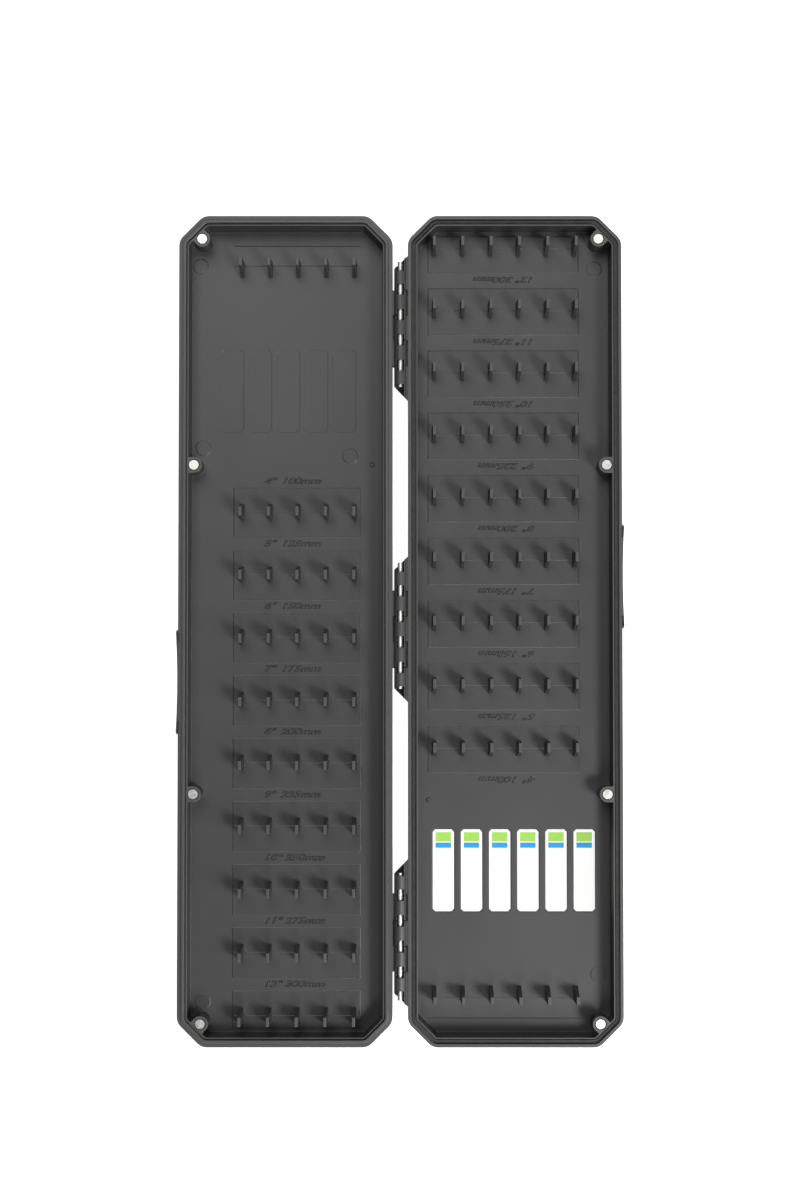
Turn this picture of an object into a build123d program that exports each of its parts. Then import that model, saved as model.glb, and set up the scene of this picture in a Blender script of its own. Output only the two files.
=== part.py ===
from build123d import *
import os
from math import sqrt

# tray outline
case_length = 327.0
tray_width = 84.4
tray_height = 16.0
tray_gap = 6.0
parting_gap = 0.3
corner_cut = 9.6
corner_radius = 5.5

# moulded walls
floor_thickness = 2.4
rim_width = 3.85
flange_overhang = 1.7
flange_depth = 4.4
wall_draft = 1.0
foot_bevel = 1.8

# rim section, measured inward from the outer edge
seal_groove_start = 1.3
seal_groove_end = 3.35
seal_groove_depth = 2.0
seal_width = 1.1
seal_height = 0.9
tongue_start = 1.65
tongue_end = 2.95
tongue_height = 1.2
tongue_bevel = 0.2
shadow_groove_width = 0.45
shadow_groove_depth = 0.8

# pegs, spans run between the outer faces of the anchor peg and the row peg
peg_height = 15.2
peg_tip_width = 1.2
peg_root_width = 1.8
peg_tip_length = 3.6
peg_root_length = 6.3
peg_outer_slant = 0.7
anchor_tip_length = 2.9
anchor_root_length = 5.9
anchor_outer_slant = 0.2
anchor_inset = 16.8
first_span = 100.0
loop_allowance = 2.0
row_pitch = 25.0
last_row_inset = 7.8
column_pitch = 11.2
base_first_column = 13.5
base_columns = 6
lid_first_column = 18.3
lid_columns = 5

# magnets and their bosses
magnet_radius = 1.9
magnet_height = 2.85
magnet_seat_radius = 2.2
magnet_recess = 0.15
boss_radius = 3.15
boss_inset = 6.0
side_boss_inset = 98.7

# label recesses
label_width = 8.4
label_length = 32.4
label_thickness = 0.15
label_corner = 1.0
recess_depth = 0.25
recess_margin = 0.4
recess_inset = 68.0
base_first_recess = 17.1
lid_first_recess = 22.4

# hinges, three leaf groups on one line
hinge_inset = 44.5
barrel_radius = 2.4
pin_radius = 1.0
pin_length = 49.6
pin_shift = 1.3
pin_clearance = 0.06
knuckle_length = 10.0
knuckle_gap = 0.3
window_length = 4.5
window_width = 3.0
end_reach = 23.25
end_window_start = 22.4
web_drop = 0.35
web_root = 0.9
web_rise = 0.6
shelf_start = 0.7
shelf_clearance = 0.3

# finger grips on the opening side
grip_start = 0.3
grip_length = 41.0
grip_end_reach = 0.85
grip_middle_reach = 0.25
grip_foot = 4.2
grip_top_drop = 0.35
grip_corner = 0.4
grip_hollow_length = 4.2
grip_hollow_width = 0.95
grip_hollow_depth = 1.5
grip_hollow_margin = 1.0

# how far joined solids sink into each other, and how far cutters run past a surface
sink = 0.4
overcut = 1.0

centre_x = (tray_gap + tray_width) / 2
outer_x = tray_gap / 2 + tray_width
half_length = case_length / 2
axis_z = tray_height + parting_gap / 2
flange_z = tray_height - flange_depth
peg_tip_z = floor_thickness + peg_height


def outline(inset):
    """Rim outline moved inward by the inset, corners cut at 45 degrees and rounded."""
    cut = max(corner_cut - inset * (2 - sqrt(2)), 1.0)
    plate = Rectangle(tray_width - 2 * inset, case_length - 2 * inset)
    plate = chamfer(plate.vertices(), cut)
    return Pos(centre_x, 0) * fillet(plate.vertices(), max(corner_radius - inset, 0.9))


def ring(start, end, z0, z1):
    """Band along the rim between two insets."""
    return extrude(Pos(0, 0, z0) * (outline(start) - outline(end)), amount=z1 - z0)


def tray_blank():
    """Drafted tray with an overhanging rim flange and a bevelled foot."""
    wall = extrude(outline(flange_overhang), amount=-flange_z, taper=wall_draft)
    wall = chamfer(wall.faces().sort_by(Axis.Z)[0].edges(), foot_bevel)
    flange = extrude(outline(0), amount=flange_depth)
    pocket = extrude(outline(rim_width), amount=floor_thickness - tray_height, taper=wall_draft)
    return Pos(0, 0, flange_z) * (wall + flange) - Pos(0, 0, tray_height) * pocket


def boss(x, y, turn):
    """Magnet boss, round towards the tray and flat where it runs into the wall."""
    reach = boss_inset - seal_groove_end + sink
    plan = Circle(boss_radius) + Pos(reach / 2, 0) * Rectangle(reach, 2 * boss_radius)
    low = floor_thickness - sink
    return Pos(x, y, low) * Rot(0, 0, turn) * extrude(plan, amount=tray_height - low)


def magnet_places():
    """Centres of the four magnets of a tray and the direction of the nearest wall."""
    step = corner_cut / 2 + boss_inset / sqrt(2)
    side_x = outer_x - boss_inset
    return [
        (outer_x - step, half_length - step, 45),
        (side_x, half_length - side_boss_inset, 0),
        (side_x, side_boss_inset - half_length, 0),
        (outer_x - step, step - half_length, -45),
    ]


def blade(root, tip, root_shift):
    """Tapered upright blade, its tip centred and its root moved along Y."""
    low = floor_thickness - sink
    side = Polygon(
        (root_shift - root / 2, low),
        (root_shift + root / 2, low),
        (tip / 2, peg_tip_z),
        (-tip / 2, peg_tip_z),
        align=None,
    )
    front = Polygon(
        (-peg_root_width / 2, low),
        (peg_root_width / 2, low),
        (peg_tip_width / 2, peg_tip_z),
        (-peg_tip_width / 2, peg_tip_z),
        align=None,
    )
    long_way = extrude(Plane.YZ * side, amount=peg_root_width, both=True)
    short_way = extrude(Plane.XZ * front, amount=root + tip, both=True)
    return long_way & short_way


def pegs(first_column, columns):
    """All pegs of a tray: one row of anchors and the rows at the marked spans."""
    anchor_face = anchor_inset - half_length
    anchor_tip_y = anchor_face + anchor_tip_length / 2
    anchor_root_y = anchor_face - anchor_outer_slant + anchor_root_length / 2
    anchor = blade(anchor_root_length, anchor_tip_length, anchor_root_y - anchor_tip_y)
    root_y = peg_outer_slant - peg_root_length / 2
    row_peg = blade(peg_root_length, peg_tip_length, root_y + peg_tip_length / 2)
    first_face = anchor_face + first_span + loop_allowance
    row_room = half_length - last_row_inset - first_face
    rows = int(row_room // row_pitch) + 1
    placed = []
    for column in range(columns):
        x = first_column + column * column_pitch
        placed.append(Pos(x, anchor_tip_y, 0) * anchor)
        for row in range(rows):
            face = first_face + row * row_pitch
            placed.append(Pos(x, face - peg_tip_length / 2, 0) * row_peg)
    return placed


def recess_places(first, count):
    """Centres of the label recesses of a tray."""
    return [(first + i * column_pitch, recess_inset - half_length) for i in range(count)]


def label_plan(margin):
    """Outline of a label grown by the margin, its corners cut at 45 degrees."""
    plan = Rectangle(label_width + 2 * margin, label_length + 2 * margin)
    return chamfer(plan.vertices(), label_corner + margin * (2 - sqrt(2)))


def leaf(y0, y1, bore):
    """One knuckle with its web into the flange, bored along the hinge line."""
    web = Polygon(
        (0, axis_z - barrel_radius),
        (tray_gap / 2, flange_z + web_rise),
        (tray_gap / 2 + web_root, flange_z + web_rise),
        (tray_gap / 2 + web_root, tray_height - web_drop),
        (0, tray_height - web_drop),
        align=None,
    )
    section = Pos(0, axis_z) * Circle(barrel_radius) + web
    solid = extrude(Plane.XZ.offset(-y1) * section, amount=y1 - y0)
    drill = Pos(0, (y0 + y1) / 2, axis_z) * Rot(90, 0, 0) * Cylinder(bore, y1 - y0 + 2 * overcut)
    return solid - drill


def window(y0, y1):
    """Window into the bore from above, which leaves the lower half as a saddle."""
    place = Pos(0, (y0 + y1) / 2, axis_z + barrel_radius)
    return place * Box(window_width, y1 - y0, 2 * barrel_radius)


def shelf(reach):
    """Rail that joins the knuckles of a tray and passes under those of the other tray."""
    width = tray_gap / 2 + web_root - shelf_start
    low = flange_z + web_rise
    height = axis_z - barrel_radius - shelf_clearance - low
    corner = (Align.MIN, Align.CENTER, Align.MIN)
    return Pos(shelf_start, 0, low) * Box(width, 2 * reach, height, align=corner)


def base_leaves():
    """Rail, middle knuckle and two end knuckles of one hinge, the ends cut at 45 degrees."""
    half = knuckle_length / 2
    inner = knuckle_length * 1.5
    gap = knuckle_gap / 2
    wall_reach = end_reach + barrel_radius + tray_gap / 2
    middle = leaf(-half + gap, half - gap, pin_radius)
    middle -= window(-half - overcut, -half + window_length / 2)
    middle -= window(half - window_length / 2, half + overcut)
    end = leaf(inner + gap, wall_reach + web_root, pin_radius)
    bevel = Polygon(
        (-barrel_radius - overcut, end_reach - overcut),
        (tray_gap / 2 + overcut, wall_reach + overcut),
        (tray_gap / 2 + overcut, wall_reach + 2 * overcut),
        (-barrel_radius - overcut, wall_reach + 2 * overcut),
        align=None,
    )
    end -= extrude(bevel, amount=2 * tray_height)
    end -= window(inner - overcut, inner + window_length / 2)
    end -= window(end_window_start, wall_reach + overcut)
    return [shelf(inner + gap + sink), middle, end, mirror(end, about=Plane.XZ)]


def lid_leaves():
    """Rail and two knuckles of one hinge that run on the pin."""
    gap = knuckle_gap / 2
    y0 = knuckle_length / 2
    y1 = knuckle_length * 1.5
    piece = leaf(y0 + gap, y1 - gap, pin_radius + pin_clearance)
    piece -= window(y0 - overcut, y0 + window_length / 2)
    piece -= window(y1 - window_length / 2, y1 + overcut)
    return [shelf(y1 + knuckle_gap), piece, mirror(piece, about=Plane.XZ)]


def hinge_line():
    """Centres of the three hinges along Y."""
    return [half_length - hinge_inset, 0.0, hinge_inset - half_length]


def grip():
    """Finger grip: a pad on the wall with a lengthwise scoop."""
    y0 = grip_start
    y1 = grip_start + grip_length
    middle = (y0 + y1) / 2
    root = outer_x - flange_overhang - sink
    tip = outer_x + grip_end_reach
    shoulder = tip - grip_corner
    with BuildSketch() as plan:
        with BuildLine():
            Line((root, y0), (shoulder, y0))
            Line((shoulder, y0), (tip, y0 + 2 * grip_corner))
            ThreePointArc(
                (tip, y0 + 2 * grip_corner),
                (outer_x + grip_middle_reach, middle),
                (tip, y1 - 2 * grip_corner),
            )
            Line((tip, y1 - 2 * grip_corner), (shoulder, y1))
            Line((shoulder, y1), (root, y1))
            Line((root, y1), (root, y0))
        make_face()
    height = tray_height - grip_top_drop - grip_foot
    pad = extrude(Pos(0, 0, grip_foot) * plan.sketch, amount=height)
    hollow = Box(grip_hollow_width, grip_hollow_length, 2 * grip_hollow_depth)
    inset = grip_hollow_margin + grip_hollow_length / 2
    hollows = [Pos(outer_x, y, tray_height) * hollow for y in (y0 + inset, y1 - inset)]
    return pad, hollows


def tray(first_column, columns, first_recess, leaves):
    """Complete moulding of a tray before its rim is shaped."""
    body = tray_blank()
    pad, hollows = grip()
    added = [pad]
    added += [boss(x, y, turn) for x, y, turn in magnet_places()]
    added += [Pos(0, y, 0) * piece for y in hinge_line() for piece in leaves]
    added += pegs(first_column, columns)
    body = body.fuse(*added)
    recess = extrude(label_plan(recess_margin), amount=overcut)
    cuts = list(hollows)
    for x, y in recess_places(first_recess, columns):
        cuts.append(Pos(x, y, floor_thickness - recess_depth) * recess)
    seat_depth = magnet_recess + magnet_height
    for x, y, _ in magnet_places():
        cuts.append(Pos(x, y, tray_height) * Cylinder(magnet_seat_radius, 2 * seat_depth))
    return body.cut(*cuts)


def base_shell():
    """Tray with the seal groove and the knuckles that hold the pins."""
    body = tray(base_first_column, base_columns, base_first_recess, base_leaves())
    low = tray_height - seal_groove_depth
    return body - ring(seal_groove_start, seal_groove_end, low, tray_height + overcut)


def lid_shell():
    """Tray with the raised tongue and the knuckles that run on the pins, turned about Z."""
    body = tray(lid_first_column, lid_columns, lid_first_recess, lid_leaves())
    shadow_end = tongue_end + shadow_groove_width
    low = tray_height - shadow_groove_depth
    body = body - ring(tongue_end, shadow_end, low, tray_height + overcut)
    tongue = ring(tongue_start, tongue_end, tray_height - sink, tray_height + tongue_height)
    tongue = chamfer(tongue.faces().sort_by(Axis.Z)[-1].edges(), tongue_bevel)
    return Rot(0, 0, 180) * (body + tongue)


def rim_seal():
    """Rubber cord lying in the seal groove."""
    middle = (seal_groove_start + seal_groove_end) / 2
    low = tray_height - seal_groove_depth
    return ring(middle - seal_width / 2, middle + seal_width / 2, low, low + seal_height)


def hinge_pin(y):
    """Straight steel pin, pushed in from one end, where it is left standing a little proud."""
    return Pos(0, y, axis_z) * Rot(90, 0, 0) * Cylinder(pin_radius, pin_length)


def magnet(x, y):
    """Disc magnet standing on the floor of its seat."""
    disc = Cylinder(magnet_radius, magnet_height)
    return Pos(x, y, tray_height - magnet_recess - magnet_height / 2) * disc


def label(x, y):
    """Writing label lying in its recess."""
    return Pos(x, y, floor_thickness - recess_depth) * extrude(label_plan(0), amount=label_thickness)


os.makedirs("parts", exist_ok=True)
export_step(base_shell(), "parts/base_shell.step")
export_step(lid_shell(), "parts/lid_shell.step")
export_step(rim_seal(), "parts/rim_seal.step")

shifts = (pin_shift, pin_shift, -pin_shift)
for name, y, shift in zip(("back", "middle", "front"), hinge_line(), shifts):
    export_step(hinge_pin(y + shift), f"parts/hinge_pin_{name}.step")

for number, (x, y, _) in enumerate(magnet_places(), 1):
    export_step(magnet(x, y), f"parts/base_magnet_{number}.step")
    export_step(magnet(-x, -y), f"parts/lid_magnet_{number}.step")

for number, (x, y) in enumerate(recess_places(base_first_recess, base_columns), 1):
    export_step(label(x, y), f"parts/label_{number}.step")
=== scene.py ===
# %% [markdown]
# # A hooklength box, lying open
#
# Anglers tie their hooklengths at home and carry them stretched between pegs in a slim case.
# The case is two grey plastic trays on a hinge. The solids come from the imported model, which
# is loaded first and never moved. What is left for this script is the finish of each surface,
# the raised size marks, the fine lines that the mould leaves, the printing on the labels, the
# light and the camera.

# %% Load the frame
from math import radians

import bmesh
import bpy
from mathutils import Matrix, Vector


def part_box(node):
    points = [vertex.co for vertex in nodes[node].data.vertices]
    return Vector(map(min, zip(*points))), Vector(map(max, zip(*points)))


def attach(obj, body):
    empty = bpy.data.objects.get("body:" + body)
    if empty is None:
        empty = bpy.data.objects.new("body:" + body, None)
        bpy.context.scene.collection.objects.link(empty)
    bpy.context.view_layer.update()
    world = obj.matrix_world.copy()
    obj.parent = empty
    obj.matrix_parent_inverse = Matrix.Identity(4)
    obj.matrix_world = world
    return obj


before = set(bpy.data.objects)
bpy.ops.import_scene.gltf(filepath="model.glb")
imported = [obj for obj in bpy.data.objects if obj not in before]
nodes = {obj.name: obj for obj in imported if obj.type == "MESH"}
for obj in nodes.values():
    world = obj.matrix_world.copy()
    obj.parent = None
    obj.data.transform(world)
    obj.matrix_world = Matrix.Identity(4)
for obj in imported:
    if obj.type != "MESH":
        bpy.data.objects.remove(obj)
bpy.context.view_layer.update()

MM = 0.001
print("nodes in the frame:", len(nodes))

# %% [markdown]
# ## Colours and nodes
#
# A colour that is read off a screen is sRGB, but the renderer counts light, which is linear.
# One function turns a hex value into linear numbers, so that every colour below can be written
# as it looks. A second one adds a shader node with its settings and its links, which keeps each
# material as short as its recipe. The other three start a material, lay a value over two
# colours, and make a noise whose blobs have a size in millimetres.


# %% Helpers for materials
def linear(hex_colour):
    """Linear RGBA of an sRGB hex colour."""
    parts = [int(hex_colour[i:i + 2], 16) / 255 for i in (1, 3, 5)]
    return [c / 12.92 if c <= 0.04045 else ((c + 0.055) / 1.055) ** 2.4 for c in parts] + [1.0]


def add(tree, kind, inputs=None, **settings):
    """Adds a node, sets its properties, and fills or links its inputs."""
    made = tree.nodes.new(kind)
    for name, value in settings.items():
        setattr(made, name, value)
    for name, value in (inputs or {}).items():
        if isinstance(value, bpy.types.NodeSocket):
            tree.links.new(value, made.inputs[name])
        else:
            made.inputs[name].default_value = value
    return made


def new_material(name):
    """Empty node material with its output and a principled shader."""
    made = bpy.data.materials.new(name)
    made.use_nodes = True
    made.node_tree.nodes.clear()
    out = add(made.node_tree, "ShaderNodeOutputMaterial")
    shader = add(made.node_tree, "ShaderNodeBsdfPrincipled")
    made.node_tree.links.new(shader.outputs["BSDF"], out.inputs["Surface"])
    return made, made.node_tree, shader


def ramp(tree, value, low, high):
    """Colour ramp over a value, between two pairs of a place and a colour."""
    made = add(tree, "ShaderNodeValToRGB", {"Fac": value})
    first, last = made.color_ramp.elements
    first.position, first.color = low
    last.position, last.color = high
    return made.outputs["Color"]


def noise(tree, size_mm, detail=2.0, roughness=0.5):
    """Noise over object coordinates whose blobs are about size_mm across."""
    place = add(tree, "ShaderNodeTexCoord").outputs["Object"]
    return add(tree, "ShaderNodeTexNoise", {
        "Vector": place, "Scale": 1 / (size_mm * MM), "Detail": detail, "Roughness": roughness,
    }).outputs["Fac"]


# %% [markdown]
# ## Trays: injection moulded ABS
#
# The trays are ABS, a tough opaque plastic, moulded in a steel tool whose faces were spark
# eroded. That leaves a fine even grain, which the eye sees as a satin sheen and not as bumps.
# The true grain is about 0.05 mm, too fine for this picture, so it is drawn at 0.35 mm and very
# shallow. The flow of the plastic leaves pale clouds a few centimetres across.
#
# A bevel node rounds the edges in the shading, and where the rounded normal leaves the true one
# the plastic is painted a little lighter, a painted highlight along the edges. From a millimetre
# below the height of the peg tips upwards, on the tips and the rims, it is painted lighter too,
# a painted highlight. Inside the hinge, nearer to its line than the skin of the knuckles, it is
# painted nearly black and made dull: painted shade in the bores and windows.
#
# The finest relief would drown in the rounding, so it gets crisper mixes of its own, darker than
# the tray: a little on the blocks of the rows, and more on the letters, which are cut with a fine
# tool. On the letters the darker plastic is painted shade, so that the raised letters read dark.


# %% Grey ABS with a spark eroded grain
hinge_height = 16.15 * MM
hinge_shade_radius = 2.23 * MM
tip_height = 15.5 * MM
flow_mm = 38.0
grain_mm = 0.35


def moulded_abs(name, dark, light, rounding_mm):
    """Satin grey plastic with a fine grain, slow flow marks, painted highlights on the edges and
    tops, and painted shade in the hinge.
    """
    made, tree, shader = new_material(name)
    flow = noise(tree, flow_mm, 3.0)
    base = ramp(tree, flow, (0.3, linear(dark)), (0.7, linear(light)))
    rounded = add(tree, "ShaderNodeBevel", {"Radius": rounding_mm * MM},
                  samples=6).outputs["Normal"]
    flat = add(tree, "ShaderNodeNewGeometry").outputs["Normal"]
    along = add(tree, "ShaderNodeVectorMath", {0: rounded, 1: flat}, operation="DOT_PRODUCT")
    # Painted highlight: the plastic is lighter where the rounded normal leaves the true one, along
    # the edges.
    edge = add(tree, "ShaderNodeMapRange", {
        "Value": along.outputs["Value"], "From Min": 0.995, "From Max": 0.8,
        "To Min": 0.0, "To Max": 0.5,
    }).outputs["Result"]
    # Painted highlight: lighter from a millimetre below the peg tips' height upwards, on the peg
    # tips and the rims.
    place = add(tree, "ShaderNodeTexCoord").outputs["Object"]
    painted_top_highlight = add(tree, "ShaderNodeMapRange", {
        "Value": add(tree, "ShaderNodeSeparateXYZ", {"Vector": place}).outputs["Z"],
        "From Min": tip_height - 1.0 * MM, "From Max": tip_height, "To Min": 0.0, "To Max": 0.1,
    }).outputs["Result"]
    painted_highlight = add(tree, "ShaderNodeMath", {0: edge, 1: painted_top_highlight}, operation="MAXIMUM").outputs["Value"]
    sheen_and_wear = add(tree, "ShaderNodeMix", {"Factor": painted_highlight, 6: base, 7: linear("#787878")},
               data_type="RGBA")
    # Painted shade: near the hinge line the plastic is painted nearly black and made dull, in the
    # bores and windows.
    from_hinge = add(tree, "ShaderNodeMapping", {
        "Vector": place, "Location": (0.0, 0.0, -hinge_height), "Scale": (1.0, 0.0, 1.0),
    }).outputs["Vector"]
    hinge_shade = add(tree, "ShaderNodeMapRange", {
        "Value": add(tree, "ShaderNodeVectorMath", {0: from_hinge},
                     operation="LENGTH").outputs["Value"],
        "From Min": hinge_shade_radius + 0.1 * MM, "From Max": hinge_shade_radius,
        "To Min": 0.0, "To Max": 1.0,
    }).outputs["Result"]
    colour = add(tree, "ShaderNodeMix", {
        "Factor": hinge_shade, 6: sheen_and_wear.outputs[2], 7: linear("#060606"),
    }, data_type="RGBA").outputs[2]
    grain = noise(tree, grain_mm, 2.0, 0.6)
    bumps = add(tree, "ShaderNodeBump", {
        "Height": grain, "Strength": 0.35, "Distance": 0.02 * MM, "Normal": rounded,
    })
    satin = add(tree, "ShaderNodeMapRange", {
        "Value": grain, "From Min": 0.3, "From Max": 0.7, "To Min": 0.38, "To Max": 0.48,
    })
    dulled = add(tree, "ShaderNodeMapRange", {
        "Value": hinge_shade, "To Min": satin.outputs["Result"], "To Max": 0.9,
    })
    tree.links.new(colour, shader.inputs["Base Color"])
    tree.links.new(dulled.outputs["Result"], shader.inputs["Roughness"])
    tree.links.new(bumps.outputs["Normal"], shader.inputs["Normal"])
    shader.inputs["IOR"].default_value = 1.53
    return made


def dress(node_name, made):
    """Gives a CAD node its material."""
    mesh = nodes[node_name].data
    mesh.materials.clear()
    mesh.materials.append(made)


tray_abs = moulded_abs("injection_moulded_abs", "#313131", "#373737", 0.3)
block_abs = moulded_abs("injection_moulded_abs_matt", "#2e2e2e", "#343434", 0.03)
# Painted shade: the letters are a darker copy of the tray plastic.
letter_abs_painted_shade = moulded_abs("injection_moulded_abs_letters_painted_shade", "#272727", "#2d2d2d", 0.12)
dress("base_shell", tray_abs)
dress("lid_shell", tray_abs)
print("trays dressed in", tray_abs.name)

# %% [markdown]
# ## Rim cord: silicone rubber
#
# The cord that seals the rim is cast silicone. It has no grain of its own and takes up dust in
# patches of about 3 mm, so it is dull, a little lighter than its groove, and slightly wavy along
# its length, because a soft cord never lies quite straight.


# %% Silicone for the cord
bloom_mm = 3.0
wave_mm = 6.0


def cast_silicone(name):
    """Dull dark rubber with a dusty bloom."""
    made, tree, shader = new_material(name)
    bloom = noise(tree, bloom_mm, 4.0, 0.6)
    base = ramp(tree, bloom, (0.35, linear("#2a2a28")), (0.7, linear("#383835")))
    waves = noise(tree, wave_mm, 2.0)
    bumps = add(tree, "ShaderNodeBump", {"Height": waves, "Strength": 0.5, "Distance": 0.1 * MM})
    tree.links.new(base, shader.inputs["Base Color"])
    tree.links.new(bumps.outputs["Normal"], shader.inputs["Normal"])
    shader.inputs["Roughness"].default_value = 0.62
    shader.inputs["IOR"].default_value = 1.41
    return made


rubber = cast_silicone("cast_silicone_rubber")
dress("rim_seal", rubber)
print("cord dressed in", rubber.name)

# %% [markdown]
# ## Hinge pins and magnets: bright metal
#
# The pins are cut from drawn stainless wire, so their fine lines run along the pin, and they
# catch the light as one broad bright band. The lines of the die are some 0.02 mm apart, too fine
# to show, and are drawn at 0.25 mm. The magnets are sintered, then tumbled and nickel plated.
# Nickel is warm white and here satin, with clouds of about a millimetre where the rough metal
# below shows through.


# %% Drawn wire and nickel plate
die_line_mm = 0.25
die_line_squeeze = 0.02
cloud_mm = 0.9


def drawn_stainless(name):
    """Bright wire with fine lines along Y."""
    made, tree, shader = new_material(name)
    place = add(tree, "ShaderNodeTexCoord").outputs["Object"]
    long_way = add(tree, "ShaderNodeMapping", {
        "Vector": place, "Scale": (1.0, die_line_squeeze, 1.0),
    })
    lines = add(tree, "ShaderNodeTexNoise", {
        "Vector": long_way.outputs["Vector"], "Scale": 1 / (die_line_mm * MM), "Detail": 2.0,
    }).outputs["Fac"]
    sheen_and_wear = add(tree, "ShaderNodeMapRange", {
        "Value": lines, "From Min": 0.3, "From Max": 0.7, "To Min": 0.46, "To Max": 0.58,
    })
    base = ramp(tree, lines, (0.3, linear("#d9d9d6")), (0.7, linear("#f0f0ed")))
    tree.links.new(base, shader.inputs["Base Color"])
    tree.links.new(sheen_and_wear.outputs["Result"], shader.inputs["Roughness"])
    shader.inputs["Metallic"].default_value = 1.0
    return made


def nickel_plate(name):
    """Satin bright plating over sintered metal."""
    made, tree, shader = new_material(name)
    clouds = noise(tree, cloud_mm, 3.0)
    base = ramp(tree, clouds, (0.3, linear("#bebcb7")), (0.7, linear("#d6d4d0")))
    sheen_and_wear = add(tree, "ShaderNodeMapRange", {
        "Value": clouds, "From Min": 0.3, "From Max": 0.7, "To Min": 0.3, "To Max": 0.44,
    })
    bumps = add(tree, "ShaderNodeBump", {"Height": clouds, "Strength": 0.2, "Distance": 0.02 * MM})
    tree.links.new(base, shader.inputs["Base Color"])
    tree.links.new(sheen_and_wear.outputs["Result"], shader.inputs["Roughness"])
    tree.links.new(bumps.outputs["Normal"], shader.inputs["Normal"])
    shader.inputs["Metallic"].default_value = 1.0
    return made


wire = drawn_stainless("drawn_stainless_wire")
plate = nickel_plate("nickel_plated_magnet")
for name in nodes:
    if name.startswith("hinge_pin"):
        dress(name, wire)
    elif "magnet" in name:
        dress(name, plate)
print("metal nodes:", sum("pin" in n or "magnet" in n for n in nodes))

# %% [markdown]
# ## Labels: matt white film
#
# The labels are printed film, matt so that a pencil bites. Film is even and white. The faintest
# mottle and a soft surface keep it from looking like an emitting card. The true mottle is finer
# than 0.1 mm and is drawn at 0.8 mm. The printing inks lie on the film as evenly as it is, so
# they share its recipe.


# %% White film and printing inks
mottle_mm = 0.8


def matt_film(name, dark, light):
    """Even matt film with the faintest mottle."""
    made, tree, shader = new_material(name)
    mottle = noise(tree, mottle_mm, 3.0)
    base = ramp(tree, mottle, (0.3, linear(dark)), (0.7, linear(light)))
    bumps = add(tree, "ShaderNodeBump", {"Height": mottle, "Strength": 0.1, "Distance": 0.01 * MM})
    tree.links.new(base, shader.inputs["Base Color"])
    tree.links.new(bumps.outputs["Normal"], shader.inputs["Normal"])
    shader.inputs["Roughness"].default_value = 0.6
    shader.inputs["IOR"].default_value = 1.49
    return made


label_film = matt_film("matt_polypropylene_film", "#fafaf8", "#fefefd")
label_names = sorted(n for n in nodes if n.startswith("label_"))
for name in label_names:
    dress(name, label_film)
green_ink = matt_film("flexo_ink_green", "#98cf4c", "#a2d858")
blue_ink = matt_film("flexo_ink_blue", "#0a93d6", "#169edf")
print("labels:", len(label_names))

# %% [markdown]
# ## Where the rows stand
#
# The size marks and the fine lines of the mould go by the rows of pegs, and the rows go by the
# spans: the outer face of the anchor pegs is 16.8 mm from the end of the case, the first row
# is 100 mm further and a little more for the loop of the line, and each next row 25 mm on. The
# lid is the base turned half round, so one set of places in the base serves both.

# %% Places of the rows
case_low, case_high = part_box("base_shell")
floor_z = 2.4 * MM
anchor_face = case_low[1] + 16.8 * MM
first_span = 100 * MM
loop_allowance = 2.0 * MM
row_pitch = 25 * MM
row_count = 9
first_face = anchor_face + first_span + loop_allowance
row_faces = [first_face + i * row_pitch for i in range(row_count)]
half_turn = Matrix.Rotation(radians(180), 4, "Z")
print("row faces in mm:", [round(y / MM, 1) for y in row_faces])

# %% [markdown]
# ## Fine lines of the mould
#
# Each row of pegs is cut in a steel block of its own, let into the mould. Where the block ends,
# the plastic creeps into the joint and leaves a thin raised line round the row, and the joint
# between the halves of the block leaves one along it. The anchor pegs are in a longer block, of
# which only the two joints nearest to them show. Round pins that push the tray out of the mould
# leave rings of the same kind, and the channel that fed the plastic leaves a small stub.
#
# They could be drawn with a bump, but real ridges catch the light from any side. An outline or
# a ring starts as one flat face that is inset twice: the first inset climbs gently, the second
# falls back steeply, and what is left in the middle is the plane of the block or the pin, a few
# hundredths of a millimetre above the floor. A joint line is inset once, and its crest is moved
# towards its steep side. Rings and stub have their own places in millimetres, the rest goes by
# the rows: a block reaches from one side of its row to the other, short of the end wall.


# %% Raised lines on the tray floor
gentle_width = 0.36 * MM
steep_width = 0.06 * MM
line_height = 0.1 * MM
block_step = 0.03 * MM
near_reach = 12.3 * MM
wall_room = 5.5 * MM
halves_joint = 2.4 * MM
anchor_joints = (-7.2 * MM, 0.8 * MM)
ring_radius = 3.2 * MM
stub_radius = 1.0 * MM
stub_height = 0.3 * MM


def finish_piece(mesh_name, bm, made, body):
    """Turns a bmesh into a piece that rides on a body."""
    mesh = bpy.data.meshes.new(mesh_name)
    bm.to_mesh(mesh)
    bm.free()
    mesh.materials.append(made)
    piece = bpy.data.objects.new(mesh_name, mesh)
    bpy.context.scene.collection.objects.link(piece)
    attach(piece, body)
    print(mesh_name, "faces:", len(mesh.polygons))


def raise_border(bm, face):
    """Raises a ridge along the edge of a flat face and leaves the middle just above the floor."""
    slopes = [(gentle_width, line_height), (steep_width, block_step - line_height)]
    for width, climb in slopes:
        bmesh.ops.inset_individual(bm, faces=[face], thickness=width, depth=climb,
                                   use_even_offset=True)


def flat_rectangle(bm, x0, x1, y0, y1, z):
    """One face, level at a height."""
    corners = bmesh.ops.create_grid(bm, x_segments=1, y_segments=1, size=0.5)["verts"]
    bmesh.ops.scale(bm, vec=(x1 - x0, y1 - y0, 1.0), verts=corners)
    bmesh.ops.translate(bm, vec=((x0 + x1) / 2, (y0 + y1) / 2, z), verts=corners)
    return corners[0].link_faces[0]


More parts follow.
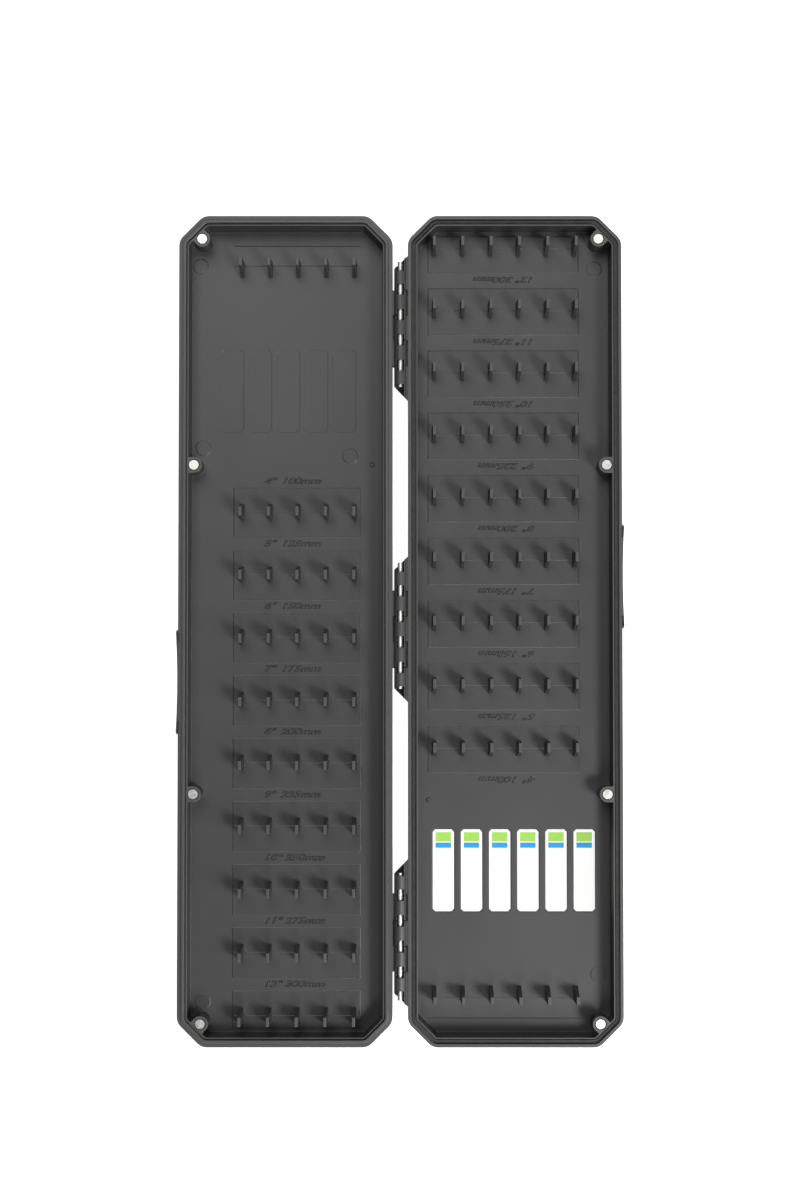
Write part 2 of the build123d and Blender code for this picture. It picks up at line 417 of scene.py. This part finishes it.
def straight_line(bm, x0, x1, y):
    """Raised ridge along X on the tray floor, with its steep side away from the anchors."""
    half = (gentle_width + steep_width) / 2
    crest = flat_rectangle(bm, x0, x1, y - half, y + half, floor_z)
    bmesh.ops.inset_individual(bm, faces=[crest], depth=line_height, thickness=0.9 * half,
                               use_even_offset=True)
    bmesh.ops.translate(bm, vec=(0, gentle_width / 2 - steep_width / 2, 0), verts=crest.verts)


def round_outline(bm, x, y):
    """Raised ring on the tray floor."""
    place = Matrix.Translation((x, y, floor_z))
    rim = bmesh.ops.create_circle(bm, cap_ends=True, segments=40, radius=ring_radius,
                                  matrix=place)
    raise_border(bm, rim["verts"][0].link_faces[0])


def feed_stub(bm, x, y):
    """Low cone that stands on the tray floor."""
    place = Matrix.Translation((x, y, floor_z + stub_height / 2))
    bmesh.ops.create_cone(bm, cap_ends=True, segments=24, radius1=stub_radius,
                          radius2=0.7 * stub_radius, depth=stub_height, matrix=place)


def mould_lines(x0, x1, far_reach, rings, feed):
    """All raised lines of a tray, in the base's place."""
    bm = bmesh.new()
    for face in row_faces:
        far_edge = min(face + far_reach, case_high[1] - wall_room)
        block = flat_rectangle(bm, x0, x1, face - near_reach, far_edge, floor_z)
        raise_border(bm, block)
        straight_line(bm, x0 + gentle_width, x1 - gentle_width, face - halves_joint)
    for shift in anchor_joints:
        straight_line(bm, x0 + gentle_width, x1 - gentle_width, anchor_face + shift)
    for x, y in rings:
        round_outline(bm, x * MM, y * MM)
    feed_stub(bm, feed[0] * MM, feed[1] * MM)
    return bm


base_rings = [(77.6, 144.6), (78.5, -136.6)]
lid_rings = [(79.9, -145.7), (78.7, -72.7), (20.0, -69.5), (78.3, 147.4)]
base_lines = mould_lines(10.9 * MM, 71.5 * MM, 6.7 * MM, base_rings, (11.3, -67.6))
finish_piece("base_mould_lines", base_lines, block_abs, "base")
lid_lines = mould_lines(15.7 * MM, 66.7 * MM, 8.0 * MM, lid_rings, (11.3, -66.0))
bmesh.ops.transform(lid_lines, matrix=half_turn, verts=lid_lines.verts)
finish_piece("lid_mould_lines", lid_lines, block_abs, "lid")

# %% [markdown]
# ## Size marks
#
# Every row has its span beside it in inches and millimetres, raised from the tray floor as
# broad slanted letters. Blender's text objects give the letters, their shear the slant and their
# bevel the sloping sides that catch the light. A bevel grows a letter, so the offset thins it
# first. Each word is made a mesh, stretched sideways and pressed flatter, turned and moved into
# place, and the marks of a tray are joined into one piece. Inches of two digits are wider, so
# their millimetres stand a little further on.


# %% Raised span marks
letter_size = 3.3 * MM
word_gap = 6.7 * MM
wide_word_gap = 8.5 * MM
first_inches = 4
mm_in_an_inch_mark = 25
mark_offset = 13.8 * MM
stretched = Matrix.Diagonal((1.58, 1.0, 0.65, 1.0))


def text_mesh(words):
    """Mesh of slanted raised letters that start at the origin."""
    letters = bpy.data.curves.new("letters", "FONT")
    letters.body = words
    letters.size = letter_size
    letters.shear = 0.3
    letters.offset = -0.05 * MM
    letters.bevel_depth = 0.17 * MM
    letters.bevel_resolution = 0
    holder = bpy.data.objects.new("letters", letters)
    bpy.context.scene.collection.objects.link(holder)
    bpy.context.view_layer.update()
    mesh = bpy.data.meshes.new_from_object(
        holder.evaluated_get(bpy.context.evaluated_depsgraph_get()))
    bpy.data.objects.remove(holder)
    bpy.data.curves.remove(letters)
    return mesh


def span_marks(start_x, turn):
    """The marks of the base, upside down as its rows are read from the other end."""
    bm = bmesh.new()
    for i, face in enumerate(row_faces):
        inches = first_inches + i
        gap = word_gap if inches < 10 else wide_word_gap
        words = [(f'{inches}"', 0.0), (f"{inches * mm_in_an_inch_mark}mm", gap)]
        for word, shift in words:
            mesh = text_mesh(word)
            place = Matrix.Translation((start_x - shift, face - mark_offset, floor_z))
            mesh.transform(turn @ place @ half_turn @ stretched)
            bm.from_mesh(mesh)
            bpy.data.meshes.remove(mesh)
    return bm


finish_piece("base_span_marks", span_marks(53.9 * MM, Matrix.Identity(4)),
             letter_abs_painted_shade, "base")
finish_piece("lid_span_marks", span_marks(54.4 * MM, half_turn), letter_abs_painted_shade, "lid")

# %% [markdown]
# ## Printing on the labels
#
# Each label has a small printed field at its upper end, green over blue, and stays bare below
# for a note in pencil. Ink is a few hundredths of a millimetre thick: a grid face, scaled and
# pulled up, is enough, one piece for each colour.


# %% Printed fields
field_size = 6.2 * MM
field_margin = 1.1 * MM
green_height = 3.7 * MM
blue_height = 2.1 * MM
ink_thickness = 0.02 * MM


def printed_field(bm, x0, y0, height, z):
    """Thin block of ink lying on a label."""
    ink = flat_rectangle(bm, x0, x0 + field_size, y0, y0 + height, z)
    up = bmesh.ops.extrude_face_region(bm, geom=[ink])
    tops = [g for g in up["geom"] if isinstance(g, bmesh.types.BMVert)]
    bmesh.ops.translate(bm, vec=(0, 0, ink_thickness), verts=tops)


green_fields = bmesh.new()
blue_fields = bmesh.new()
for name in label_names:
    low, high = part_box(name)
    left = (low[0] + high[0] - field_size) / 2
    top = high[1] - field_margin
    printed_field(green_fields, left, top - green_height, green_height, high[2])
    printed_field(blue_fields, left, top - field_size, blue_height, high[2])
finish_piece("label_green_fields", green_fields, green_ink, "base")
finish_piece("label_blue_fields", blue_fields, blue_ink, "base")

# %% [markdown]
# ## Light table
#
# The photograph was taken on a white ground that is blown out. The floor is a white acrylic
# sheet that is lit from below too, so that it stays pale in the gap between the trays.


# %% Floor
sheet_reach = 3.0
sheet_drop = 0.1 * MM


def light_table():
    """White acrylic sheet that glows almost white."""
    made, _, shader = new_material("opal_acrylic_sheet")
    shader.inputs["Base Color"].default_value = linear("#f2f2f2")
    shader.inputs["Roughness"].default_value = 0.6
    shader.inputs["Emission Color"].default_value = linear("#ffffff")
    shader.inputs["Emission Strength"].default_value = 0.9
    return made


sheet = bmesh.new()
bmesh.ops.create_grid(sheet, x_segments=1, y_segments=1, size=sheet_reach)
bmesh.ops.translate(sheet, vec=(0, 0, -sheet_drop), verts=sheet.verts)
floor_mesh = bpy.data.meshes.new("floor")
sheet.to_mesh(floor_mesh)
sheet.free()
floor_mesh.materials.append(light_table())
floor = bpy.data.objects.new("floor", floor_mesh)
bpy.context.scene.collection.objects.link(floor)
print("floor dressed in", floor_mesh.materials[0].name)

# %% [markdown]
# ## Lamps
#
# The key lamp stands to the lower right, about 60 degrees up: the shadows of the pegs fall to
# the upper left and fade within a few millimetres. A wide fill from the far end keeps those
# shadows grey. A wide low lamp at the side and a weak one at the near end brighten the walls
# that face them, which the key only grazes.


# %% Lamps
def soft_lamp(name, place, size, power):
    """Square area lamp that faces the middle of the case."""
    data = bpy.data.lights.new(name, "AREA")
    data.shape = "SQUARE"
    data.size = size
    data.energy = power
    lamp = bpy.data.objects.new(name, data)
    lamp.location = place
    lamp.rotation_euler = (-Vector(place)).to_track_quat("-Z", "Y").to_euler()
    bpy.context.scene.collection.objects.link(lamp)


soft_lamp("key_softbox", (0.62, -0.52, 1.39), 0.36, 13.5)
soft_lamp("fill_softbox", (-0.16, 0.62, 1.45), 0.8, 8.5)
soft_lamp("side_softbox", (1.05, -0.55, 0.6), 0.8, 8.5)
soft_lamp("front_softbox", (0.1, -0.85, 1.15), 0.4, 4.0)
world = bpy.data.worlds.new("studio")
bpy.context.scene.world = world
world.use_nodes = True
world.node_tree.nodes["Background"].inputs["Color"].default_value = linear("#ffffff")
world.node_tree.nodes["Background"].inputs["Strength"].default_value = 0.07
bpy.context.scene.view_settings.view_transform = "Standard"
print("lamps:", len(bpy.data.lights))

# %% [markdown]
# ## Camera
#
# The camera's place comes from the photograph's parallax. Peg tips, rim and tray floor are at
# known heights, and how far they shift against each other tells where the camera stood: almost
# above the middle, 0.96 m up, a little towards the lower edge and turned 2 degrees to meet the
# picture's centre. The frame is 800 by 1200 pixels, and the lens follows from its focal length
# in pixels.

# %% Camera
focal_px = 2396.0
frame_height_px = 1200.0
sensor_height = 36.0
eye = Vector((0.7 * MM, -23.0 * MM, 957.7 * MM))
aim = Vector((-0.1 * MM, 11.46 * MM, 16.0 * MM))
camera_data = bpy.data.cameras.new("camera")
camera_data.sensor_fit = "VERTICAL"
camera_data.sensor_height = sensor_height
camera_data.lens = focal_px / frame_height_px * sensor_height
camera_data.clip_start = 0.01
camera = bpy.data.objects.new("camera", camera_data)
forward = (aim - eye).normalized()
right = forward.cross(Vector((0, 1, 0))).normalized()
upward = right.cross(forward)
turn = Matrix((right, upward, -forward)).transposed().to_4x4()
camera.matrix_world = Matrix.Translation(eye) @ turn
bpy.context.scene.collection.objects.link(camera)
bpy.context.scene.camera = camera
print("lens in mm:", round(camera_data.lens, 2))
